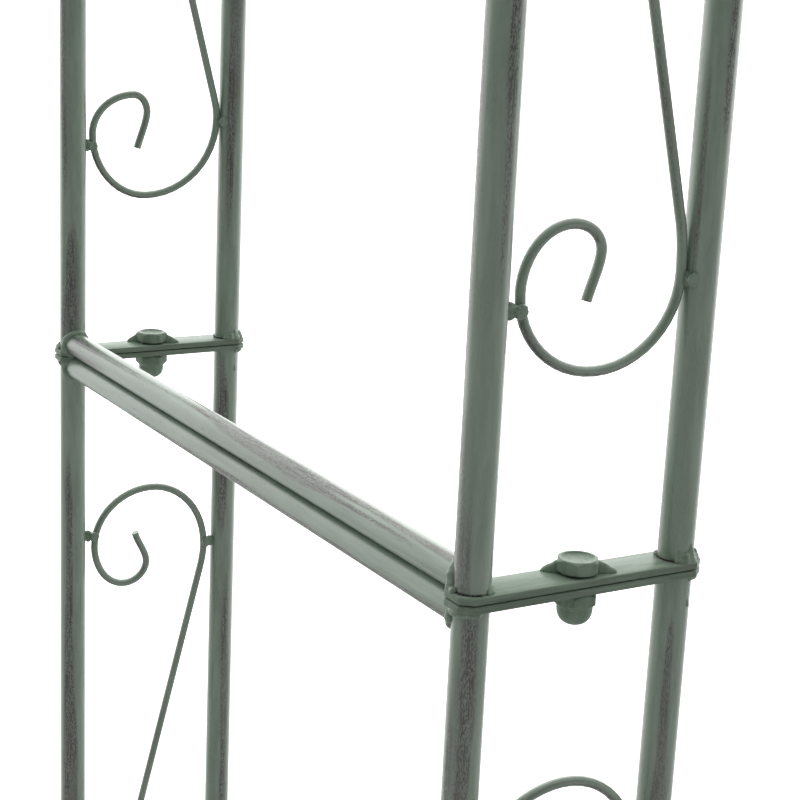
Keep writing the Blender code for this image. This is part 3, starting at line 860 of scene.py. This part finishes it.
def build_scrollwork():
    """Eight panels of scrolls, with every second scroll the other way round. Returns their contacts."""
    contacts = {}
    for job, (part, panel_length, count, place) in enumerate(SCROLL_JOBS):
        length, starts = scroll_layout(panel_length, count)
        for side, face in PANELS:
            paths, met = [], []
            for number, start in enumerate(starts):
                hand = 1 if number % 2 == 0 else -1
                shapes = [bend_of(part, side, face, number, end) for end in ("start", "finish")]
                flat = scroll(length, *shapes)
                paths.append([place(start + point.y, hand * point.x) for point in flat])
                met += contacts_of(shapes[0], hand, lambda run, start=start: start + run, 1)
                met += contacts_of(shapes[1], hand, lambda run, start=start: start + length - run, -1)
            met += [(start - WIRE_RADIUS + WELD_BITE / 2, 0.0, 0.0, 0) for start in starts[1:]]
            contacts[part, side, face] = met
            node = f"{part}_scrollwork_{side}_{face}"
            number = 70 + job * 4 + len(side) + len(face)
            mesh = round_bar(paths, WIRE_RADIUS, WIRE_SIDES, WIRE_PAINT, number)
            # Painted shade: dark marks on the wires' sides that face down and away from the light.
            shade_wire_undersides(mesh, side)
            add_piece(f"wire_{node}", mesh, onto_side(side, face), [node])
        print(part, "scroll length", round(length, 4), "points", len(flat))
    return contacts


CONTACTS = build_scrollwork()

# %% [markdown]
# ## Joint plates
# Each section ends in a sheared flat bar whose corners were knocked off. The paint rounds its edges,
# so we draw the outline as a mesh, give it thickness, and soften the edges with a Bevel modifier.
# Paint rubs off a plate's sides and edges first, so they are told apart by an "edge" attribute.

# %% Plates
PLATE_WIDTH = 15.0 * MM
PLATE_THICKNESS = PLATE_TOP - SEAM / 2
PLATE_HALF_LENGTH = extent(UPPER_PLATE, X) / 2
CLIP = 4.2 * MM
CLIP_SHARE = 0.8
EDGE_ROUNDING = 0.55 * MM
ROUNDED_WEAR = 0.45


def apply_modifiers(mesh, add_modifiers):
    """Return a mesh with some modifiers applied to it."""
    item = new_object("bench", mesh)
    add_modifiers(item)
    return plain_mesh(item)


def soften(width, segments=3, angle=radians(30)):
    """A function that bevels the sharp edges of an object."""

    def add(item):
        bevel = item.modifiers.new("Rounding", "BEVEL")
        bevel.width = width
        bevel.segments = segments
        bevel.limit_method = "ANGLE"
        bevel.angle_limit = angle
        bevel.harden_normals = False

    return add


LEG_JOINT = Matrix.Translation((MIDDLE_X, 0, JOINT_Z))
CROWN_JOINT = Matrix.Translation((0, 0, CROWN_MIDDLE)) @ Matrix.Rotation(pi / 2, 4, "Y")


def plate_mesh(number):
    """A plate just above the plane z = 0, long in X, with clipped corners and softened edges."""
    x, y = PLATE_HALF_LENGTH, PLATE_WIDTH / 2
    corners = [(x, y - CLIP * CLIP_SHARE), (x - CLIP, y), (CLIP - x, y), (-x, y - CLIP * CLIP_SHARE)]
    outline = corners + [(-a, -b) for a, b in corners]
    sides = len(outline)
    bottom = SEAM / 2
    places = [(a, b, height) for height in (bottom, PLATE_TOP) for a, b in outline]
    faces = [tuple(range(sides))[::-1], tuple(range(sides, 2 * sides))]
    for i in range(sides):
        j = (i + 1) % sides
        faces.append((i, j, j + sides, i + sides))
    mesh = bpy.data.meshes.new("plate")
    mesh.from_pydata(places, [], faces)
    mesh = apply_modifiers(mesh, soften(EDGE_ROUNDING))
    smooth(mesh, 60)
    points = vertices_of(mesh)
    store_vectors(mesh, "grain", points[:, [Y, Z, X]] + 0.41 * number)
    from_middle = np.abs(points[:, Z] - bottom - PLATE_THICKNESS / 2) / (PLATE_THICKNESS / 2)
    at_side = (np.abs(points[:, Y]) > y - 0.1 * MM) | (np.abs(points[:, X]) > x - 0.1 * MM)
    store_numbers(mesh, "edge", np.where(at_side, 1.0, ROUNDED_WEAR * (from_middle < 0.98)))
    mesh.materials.append(PLATE_PAINT)
    return mesh


def build_plates():
    """Two plates where the sections of a panel meet, and one at each panel's crown end."""
    flipped = LEG_JOINT @ Matrix.Rotation(pi, 4, "Y")
    places = {"leg_top": flipped, "bow_bottom": LEG_JOINT, "bow_crown": CROWN_JOINT}
    number = 0
    for side, face in PANELS:
        for name, place in places.items():
            number += 1
            node = f"{name}_plate_{side}_{face}"
            spot = onto_side(side, face) @ place
            add_piece(f"clipped_{node}", plate_mesh(number), spot, [node])
    print("plates:", number)


build_plates()

# %% [markdown]
# ## Bolts and dome nuts
# A pressed bolt head has a shallow dish in its top and corners chamfered by a cone. We cut both the
# way a lathe and a press would: a hexagonal prism is intersected with a turned, chamfered blank,
# and the dish is a turned lens taken away. The dome nut is the same hexagon on a turned dome.

# %% Fasteners
HEX_FLATS = 13.0 * MM
HEAD_HEIGHT = 5.0 * MM
NUT_HEX_HEIGHT = 4.4 * MM
NUT_HEIGHT = 11.0 * MM
DOME_RADIUS = 5.9 * MM
UNDERCUT = 0.35 * MM
HEX_TURN = {"front": radians(23), "back": radians(7)}
NUT_TURN = radians(1)
CONE_FACE, CONE_ANGLE = 6.3 * MM, radians(38)
CORNER_WEAR_FROM, CORNER_WEAR_OVER = 6.6 * MM, 0.7 * MM
DISH_RIM, DISH_DEPTH, DISH_STEPS = 5.3 * MM, 1.1 * MM, 8
SHANK_RADIUS, SHANK_TIP = 4.0 * MM, 3.0 * MM
DOME_SQUARENESS, DOME_RISE, DOME_STEPS = 0.8, 1.07, 12
SEAT = SECTION_END


def turned(profile, steps=48):
    """Turn an outline of (radius, height) points about Z, from top to bottom, into a closed mesh."""
    mesh = bpy.data.meshes.new("profile")
    points = [(radius, 0.0, height) for radius, height in profile]
    mesh.from_pydata(points, [(i, i + 1) for i in range(len(points) - 1)], [])

    def add(item):
        screw = item.modifiers.new("Lathe", "SCREW")
        screw.steps = screw.render_steps = steps
        screw.use_merge_vertices = True
        screw.merge_threshold = 0.000005

    return apply_modifiers(mesh, add)


def hexagon(bottom, top):
    """A hexagonal prism with corners at plus and minus Y."""
    work = bmesh.new()
    lift = Matrix.Translation((0, 0, (bottom + top) / 2))
    size = HEX_FLATS / sqrt(3)
    sizes = {"radius1": size, "radius2": size, "depth": top - bottom}
    bmesh.ops.create_cone(work, cap_ends=True, segments=6, matrix=lift, **sizes)
    mesh = bpy.data.meshes.new("hexagon")
    work.to_mesh(mesh)
    work.free()
    return mesh


def combined(base, tool, operation):
    """Join, cut or intersect two meshes."""
    helper = new_object("tool", tool)

    def add(item):
        boolean = item.modifiers.new("Cut", "BOOLEAN")
        boolean.operation = operation
        boolean.solver = "EXACT"
        boolean.object = helper

    result = apply_modifiers(base, add)
    bpy.data.objects.remove(helper, do_unlink=True)
    return result


def chamfered_blank(bottom, top):
    """A turned blank whose cones take the corners off both ends of a hexagon."""
    wide, face = HEX_FLATS / sqrt(3) + 0.1 * MM, CONE_FACE
    drop = (wide - face) * tan(CONE_ANGLE)
    upper, lower = [(0.0, top), (face, top), (wide, top - drop)], [(face, bottom), (0.0, bottom)]
    return turned([*upper, (wide, bottom + drop), *lower])


def painted_hardware(mesh, number):
    """Soften, shade and mark up a fastener's mesh."""
    mesh = apply_modifiers(mesh, soften(0.28 * MM, 2, radians(25)))
    smooth(mesh, 55)
    points = vertices_of(mesh)
    store_vectors(mesh, "grain", points + 0.23 * number)
    radius = np.hypot(points[:, X], points[:, Y])
    store_numbers(mesh, "edge", np.clip((radius - CORNER_WEAR_FROM) / CORNER_WEAR_OVER, 0.0, 1.0))
    mesh.materials.clear()
    mesh.materials.append(BOLT_PAINT)
    return mesh


def quarter_turn(steps):
    """Cosine and sine at even steps through a right angle, with the last cosine exactly nothing."""
    turns = [step / steps * pi / 2 for step in range(steps)]
    return [(cos(turn), sin(turn)) for turn in turns] + [(0.0, 1.0)]


# %% Bolts and nuts
def bolt_mesh(number):
    """A dished hex head above the joint's plane, with a stub of shank that runs into the nut."""
    low, top = SEAT + UNDERCUT, SEAT + HEAD_HEIGHT
    head = combined(hexagon(low, top), chamfered_blank(low, top), "INTERSECT")
    dish = [(0.0, top + 1.0 * MM), (DISH_RIM + 0.1 * MM, top + 1.0 * MM)]
    dish += [(DISH_RIM * c**0.8, top - DISH_DEPTH * s) for c, s in quarter_turn(DISH_STEPS)]
    head = combined(head, turned(dish), "DIFFERENCE")
    tip, buried = -SEAT - SHANK_TIP, low + 1.0 * MM
    shank = turned([(0.0, buried), (SHANK_RADIUS, buried), (SHANK_RADIUS, tip), (0.0, tip)])
    return painted_hardware(combined(head, shank, "UNION"), number)


def nut_mesh(number):
    """A dome nut below the joint's plane, with a waist where the dome meets the hexagon."""
    low = -SEAT - NUT_HEX_HEIGHT
    hex_part = combined(hexagon(low, -SEAT), chamfered_blank(low, -SEAT), "INTERSECT")
    ball = -SEAT - NUT_HEIGHT + DOME_RADIUS
    waist, buried = DOME_RADIUS + 0.35 * MM, low + 1.5 * MM
    outline = [(0.0, buried), (waist, buried), (waist, low - 0.2 * MM), (DOME_RADIUS, low - 0.8 * MM)]
    for c, s in quarter_turn(DOME_STEPS):
        drop = DOME_RISE * DOME_RADIUS * s**DOME_SQUARENESS
        outline.append((DOME_RADIUS * c**DOME_SQUARENESS, ball - drop))
    return painted_hardware(combined(hex_part, turned(outline), "UNION"), number)


def build_fasteners():
    """A bolt and a nut at each leg joint, head up, and at the crown, head to the left."""
    lying = Matrix.Rotation(-pi / 2, 4, "Y")
    count = 0
    for face, y in FACE_Y.items():
        sites = {
            "left": Matrix.Translation((-MIDDLE_X, y, JOINT_Z)),
            "right": Matrix.Translation((MIDDLE_X, y, JOINT_Z)),
            "crown": Matrix.Translation((0, y, CROWN_MIDDLE)) @ lying,
        }
        for site, place in sites.items():
            count += 1
            head_place = place @ Matrix.Rotation(HEX_TURN[face], 4, "Z")
            nut_place = head_place @ Matrix.Rotation(NUT_TURN, 4, "Z")
            bolt, nut = f"hex_bolt_{site}_{face}", f"dome_nut_{site}_{face}"
            add_piece(f"dished_{bolt}", bolt_mesh(count), head_place, [bolt])
            add_piece(f"turned_{nut}", nut_mesh(count + 10), nut_place, [nut])
    print("bolts and nuts:", count, "of each")


build_fasteners()

# %% [markdown]
# ## Welds with Geometry Nodes
# The frame is held together by small hand welds: collars where rungs meet tubes, humps at the tubes'
# feet, and buttons where the scrolls touch. Melted metal blends into itself, so separate spheres
# would look like beads on a string. We turn points of given radii into a volume, mesh the volume,
# and blur it a little. The tree does the same for every weld, and we only supply the points.


# %% The weld tree
BLUR_STEPS, LUMP_SCALE = 4, 420.0


def weld_tree():
    """Vertices with a "bead" radius in, one blended and slightly lumpy skin out."""
    sockets = [("Voxel", "Float"), ("Lumps", "Float"), ("Paint", "Material")]
    tree, start, end = tree_with("weld", sockets)
    bead = add_node(tree, "GeometryNodeInputNamedAttribute", {"Name": "bead"}, data_type="FLOAT")
    radius = bead.outputs["Attribute"]
    point_inputs = {"Mesh": start.outputs["Geometry"], "Radius": radius}
    points = add_node(tree, "GeometryNodeMeshToPoints", point_inputs)
    melt = {"Points": points.outputs[0], "Radius": radius, "Density": 1.0}
    melt["Voxel Size"] = start.outputs["Voxel"]
    volume = add_node(tree, "GeometryNodePointsToVolume", melt, resolution_mode="VOXEL_SIZE")
    skin_inputs = {"Volume": volume.outputs[0], "Threshold": 0.25}
    skin = add_node(tree, "GeometryNodeVolumeToMesh", skin_inputs, resolution_mode="GRID")
    position = tree.nodes.new("GeometryNodeInputPosition")
    blur_inputs = {"Value": position.outputs[0], "Iterations": BLUR_STEPS}
    blur = add_node(tree, "GeometryNodeBlurAttribute", blur_inputs, data_type="FLOAT_VECTOR")
    melted_inputs = {"Geometry": skin.outputs[0], "Position": blur.outputs[0]}
    melted = add_node(tree, "GeometryNodeSetPosition", melted_inputs)
    lump_inputs = {"Vector": position.outputs[0], "Scale": LUMP_SCALE, "Detail": 2.0}
    noise = add_node(tree, "ShaderNodeTexNoise", lump_inputs)
    centred = add_node(tree, "ShaderNodeMath", {0: noise.outputs[0], 1: 0.5}, operation="SUBTRACT")
    height_inputs = {0: centred.outputs[0], 1: start.outputs["Lumps"]}
    height = add_node(tree, "ShaderNodeMath", height_inputs, operation="MULTIPLY")
    normal = tree.nodes.new("GeometryNodeInputNormal")
    push_inputs = {0: normal.outputs[0], "Scale": height.outputs[0]}
    push = add_node(tree, "ShaderNodeVectorMath", push_inputs, operation="SCALE")
    lumpy_inputs = {"Geometry": melted.outputs[0], "Offset": push.outputs[0]}
    lumpy = add_node(tree, "GeometryNodeSetPosition", lumpy_inputs)
    finish_tree(tree, lumpy.outputs[0], position.outputs[0], start, end)
    return tree


WELD = weld_tree()
VOXEL = 0.36 * MM
LUMPS = 0.7 * MM


def weld_mesh(beads):
    """One welded skin from a list of (place, radius) beads."""
    seeds = bpy.data.meshes.new("beads")
    seeds.from_pydata([tuple(place) for place, radius in beads], [], [])
    store_numbers(seeds, "bead", [radius for place, radius in beads])
    mesh = bake(WELD, seeds, {"Voxel": VOXEL, "Lumps": LUMPS, "Paint": WELD_PAINT})
    mesh.shade_smooth()
    return mesh


# %% [markdown]
# ### Where the beads go
# Each helper below returns beads for one kind of weld. The welder's hand is never quite steady, so
# sizes vary with a seeded random generator, which gives the same welds each time the script runs.

# %% Beads for each kind of weld
steady_hand = np.random.default_rng(11)


def vary(value, share=0.18):
    """A size that the hand got a little wrong."""
    return value * (1 + share * steady_hand.uniform(-1, 1))


ARC_STEP = 9
FOOT_THIN = 0.55
LAYER_SHRINK, LAYER_LEAN = 0.35, 0.06
COLLAR_BEADS, COLLAR_SIZE = 36, 1.8 * MM
BUTTON_SIZE, BUTTON_PROUD = 2.0 * MM, 1.2 * MM
RIM_BEADS, RIM_RADIUS, RIM_SIZE = 8, 1.8 * MM, 0.95 * MM
STRAP_BEADS, STRAP_SIZE = 5, 1.9 * MM
TACK_COLUMNS, TACK_LAYER = 14, 0.7 * MM


def foot_beads(centre, arcs):
    """Beads round the foot of a tube on its plate. Arcs are (from, to, radius, rise) in degrees and mm."""
    beads = []
    for start, stop, size, rise in arcs:
        steps = max(2, int(abs(stop - start) / ARC_STEP))
        for step in range(steps + 1):
            angle = radians(start + (stop - start) * step / steps)
            swell = sin(pi * (step + 0.5) / (steps + 1)) ** 0.5
            radius = vary(size * MM * (FOOT_THIN + (1 - FOOT_THIN) * swell))
            ring = TUBE_RADIUS + 0.25 * radius
            out = Vector((ring * cos(angle), ring * sin(angle), 0))
            layers = max(1, ceil(rise * MM * swell / radius))
            for layer in range(layers):
                lift = Vector((0, 0, PLATE_TOP + 0.3 * radius + layer * radius))
                shrink = 1 - LAYER_SHRINK * layer / layers
                beads.append((centre + out * (1 - LAYER_LEAN * layer) + lift, radius * shrink))
    return beads


def collar_beads(centre, toward, upright, reach):
    """Beads on the curve where a rung meets a tube. Toward is the rung's direction from the tube."""
    side = toward.cross(upright)
    beads = []
    for step in range(COLLAR_BEADS):
        turn = 2 * pi * step / COLLAR_BEADS
        off_side = reach * cos(turn)
        out = sqrt(max(TUBE_RADIUS**2 - (off_side * 0.96) ** 2, 0.0))
        place = centre + side * off_side + upright * (reach * sin(turn)) + toward * out
        beads.append((place, vary(COLLAR_SIZE, 0.22)))
    return beads


def button_beads(place, along, front, outward=Vector(), root=Vector()):
    """A round button where a wire meets a tube or another wire, put on from the front.

    Outward leads from the gap to the button, whose rim stands up round a small hollow. Root
    leads to the other end of the strap of weld that holds it.
    """
    proud = Vector((0, front * BUTTON_PROUD, 0))
    button = place + outward
    beads = [(button + proud, vary(BUTTON_SIZE, 0.1))]
    if outward.length:
        way = Vector((outward.x, 0, outward.z)).normalized()
        for step in range(RIM_BEADS):
            angle = 2 * pi * step / RIM_BEADS
            ring = along * cos(angle) + way * sin(angle)
            beads.append((button + ring * RIM_RADIUS + 2 * proud, vary(RIM_SIZE, 0.1)))
        for step in range(STRAP_BEADS):
            strap = (place + root).lerp(button + proud, step / (STRAP_BEADS - 1))
            beads.append((strap, vary(STRAP_SIZE, 0.1)))
    for share in (-1, 1):
        beads.append((place + along * share * 1.5 * MM, vary(0.8 * BUTTON_SIZE)))
        beads.append((place + along.cross(Vector((0, 1, 0))) * share * 1.3 * MM, vary(0.8 * BUTTON_SIZE)))
    return beads


def tack_beads(side, length, height, slant):
    """A web of weld that slopes from a bolt head down to the plate, a little askew of X."""
    beads = []
    for column in range(TACK_COLUMNS):
        share = column / (TACK_COLUMNS - 1)
        radius = (1.70 - 0.45 * share) * MM
        layers = int(height * (1 - share) ** 0.75 / TACK_LAYER) + 1
        for layer in range(layers):
            x = side * (HEX_FLATS / 2 - 0.8 * MM + length * share)
            y = slant * x + 0.4 * MM * sin(4 * share + side)
            lift = PLATE_TOP + 0.1 * MM + layer * TACK_LAYER
            beads.append((Vector((x, y, lift)), vary(radius * (1 - 0.2 * layer / layers), 0.04)))
    return beads


# %% [markdown]
# ### Welding the joints
# At a leg joint the tubes stand on their plates, and the weld is worn through or missing on
# the side where the paint has cracked. Angles are measured on the right-hand side of the arch, from
# its outside, and the left side is the same joint turned half round.

# %% Welds at the joints
OUTER_FOOT = [(-85, -6, 1.7, 1.6), (112, 150, 1.1, 3.2), (196, 250, 1.2, 1.0)]
INNER_FOOT = [(56, 70, 1.3, 4.4), (72, 98, 1.6, 2.4), (98, 116, 1.5, 5.2)]
INNER_FOOT += [(125, 215, 1.5, 2.0), (235, 320, 1.2, 1.0)]
LOW_OUTER_FOOT = [(-85, 30, 1.6, 1.4), (150, 230, 1.2, 1.0)]
LOW_INNER_FOOT = [(70, 130, 1.3, 2.2), (150, 250, 1.3, 1.2)]
DRIP_ANGLE, DRIP_PITCH = radians(112), 1.4 * MM
DRIP_SIZES = (1.1, 0.95, 0.85, 0.8, 0.8, 0.85, 1.0, 1.2)
TACKS = ((1, 3.4 * MM, 0.60 * HEAD_HEIGHT, -0.60), (-1, 5.6 * MM, 0.65 * HEAD_HEIGHT, -0.37))


def joint_beads(outer, inner):
    """Both tubes' feet at one end of a section. The plate is at the origin, with the tubes above it."""
    half = Vector((TUBE_SPACING / 2, 0, 0))
    return foot_beads(half, outer) + foot_beads(-half, inner)


def drip_beads():
    """A run of paint down the inner tube, below the joint."""
    out = Vector((cos(DRIP_ANGLE), sin(DRIP_ANGLE), 0)) * (TUBE_RADIUS - 0.45 * MM)
    top = Vector((-TUBE_SPACING / 2, 0, -PLATE_TOP)) + out
    return [(top - Vector((0, 0, DRIP_PITCH * step)), size * MM) for step, size in enumerate(DRIP_SIZES)]


def build_joint_welds():
    """Feet, tacks and drips at the leg joints and at the crown."""
    flipped = Matrix.Rotation(pi, 4, "X")
    count = 0
    for side, face in PANELS:
        upper = joint_beads(OUTER_FOOT, INNER_FOOT)
        for tack in TACKS:
            upper += tack_beads(*tack)
        lower = [(flipped @ spot, radius) for spot, radius in joint_beads(LOW_OUTER_FOOT, LOW_INNER_FOOT)]
        lower += drip_beads()
        crown = joint_beads(LOW_OUTER_FOOT, LOW_INNER_FOOT)
        welds = {"bow_bottom": (upper, LEG_JOINT), "leg_top": (lower, LEG_JOINT)}
        welds["crown"] = (crown, CROWN_JOINT)
        for name, (beads, joint) in welds.items():
            spot = onto_side(side, face) @ joint
            add_piece(f"weld_{name}_{side}_{face}", weld_mesh(beads), spot)
            count += len(beads)
    print("joint weld beads:", count)


build_joint_welds()

# %% [markdown]
# ### Welding the rungs and the scrolls
# A rung gets a collar at each end. A scroll is held by a button wherever it comes near a tube, and
# two scrolls are melted together where they meet.


# %% Welds on rungs and scrolls
CLOSE_GAP = 0.6 * MM
BOW_LEAN = (BOW_LENGTH / 2 - BOW_STRAIGHT) / MIDDLE_RADIUS


def build_rung_welds():
    """A collar at both ends of every rung."""
    for side, name in RUNGS:
        centre = middle(f"{name}_rung_{side}")
        upright = Vector((0, 0, 1))
        if name == "bow_crown":
            upright = Vector((1, 0, 0))
        if name == "bow_shoulder":
            upright = Vector((-SIDES[side] * sin(BOW_LEAN), 0, cos(BOW_LEAN)))
        beads = []
        for y, way in zip(FACE_Y.values(), (1.0, -1.0)):
            end = Vector((centre.x, y, centre.z))
            beads += collar_beads(end, Vector((0, way, 0)), upright, RUNG_RADIUS)
        add_piece(f"weld_{name}_rung_{side}", weld_mesh(beads), Matrix.Identity(4))
    print("rung collars:", 2 * len(RUNGS))


def scroll_beads(place, contact, front):
    """The button at one contact. On a narrow gap it sits on the gap, and otherwise on the wire."""
    run, across, half_gap, toward = contact
    spot = place(run, across)
    along = (place(run + 1 * MM, across) - spot).normalized()
    to_tube = (place(run, across + toward * MM) - spot) / MM
    if not toward:
        return button_beads(spot, along, front)
    if half_gap < CLOSE_GAP:
        outward = to_tube * 0.5 * MM + Vector((0, front * 1.5 * MM, 0))
        return button_beads(spot, along, front, outward)
    return button_beads(spot, along, front, -to_tube * (half_gap + 1.1 * MM), to_tube * 2.4 * MM)


def build_scroll_welds():
    """Buttons on all the scrollwork."""
    for part, *_, place in SCROLL_JOBS:
        for side, face in PANELS:
            beads = []
            for contact in CONTACTS[part, side, face]:
                beads += scroll_beads(place, contact, -SIDES[side])
            name = f"weld_{part}_scrollwork_{side}_{face}"
            add_piece(name, weld_mesh(beads), onto_side(side, face))
        print(part, "buttons on a panel:", len(CONTACTS[part, "left", "front"]))


build_rung_welds()
build_scroll_welds()

# %% [markdown]
# ## Cracks in the paint
# Paint bridges the joint between a tube's foot and its plate, and cracks when the joint works. The
# crack shows as a thin broken black line. It is a few short arcs of a thin dark bar.

# %% Cracks
CRACK_RADIUS = 0.36 * MM
CRACK_HEIGHT = PLATE_TOP + 0.22 * MM
CRACK_RING = TUBE_RADIUS + 0.05 * MM
CRACK_ARCS = ((TUBE_SPACING / 2, -8, 78), (-TUBE_SPACING / 2, -25, 52))
DASH, DASH_GAP, DASH_STEPS = (7, 20), (2, 7), 4


def crack_paths(offset, start, stop):
    """A ring cut into dashes, at the foot of one tube."""
    paths, angle = [], start
    while angle < stop:
        dash = steady_hand.uniform(*DASH)
        turns = [radians(angle + dash * step / DASH_STEPS) for step in range(DASH_STEPS + 1)]
        ring = [Vector((CRACK_RING * cos(turn), CRACK_RING * sin(turn), CRACK_HEIGHT)) for turn in turns]
        paths.append([Vector((offset, 0, 0)) + point for point in ring])
        angle += dash + steady_hand.uniform(*DASH_GAP)
    return paths


def build_cracks():
    """Cracks at the feet of the upper sections' tubes."""
    for side, face in PANELS:
        paths = [path for arc in CRACK_ARCS for path in crack_paths(*arc)]
        mesh = round_bar(paths, CRACK_RADIUS, 6, CRACK_PAINT, 5)
        add_piece(f"crack_bow_bottom_{side}_{face}", mesh, onto_side(side, face) @ LEG_JOINT)
    print("crack dashes in the last joint:", len(paths))


build_cracks()
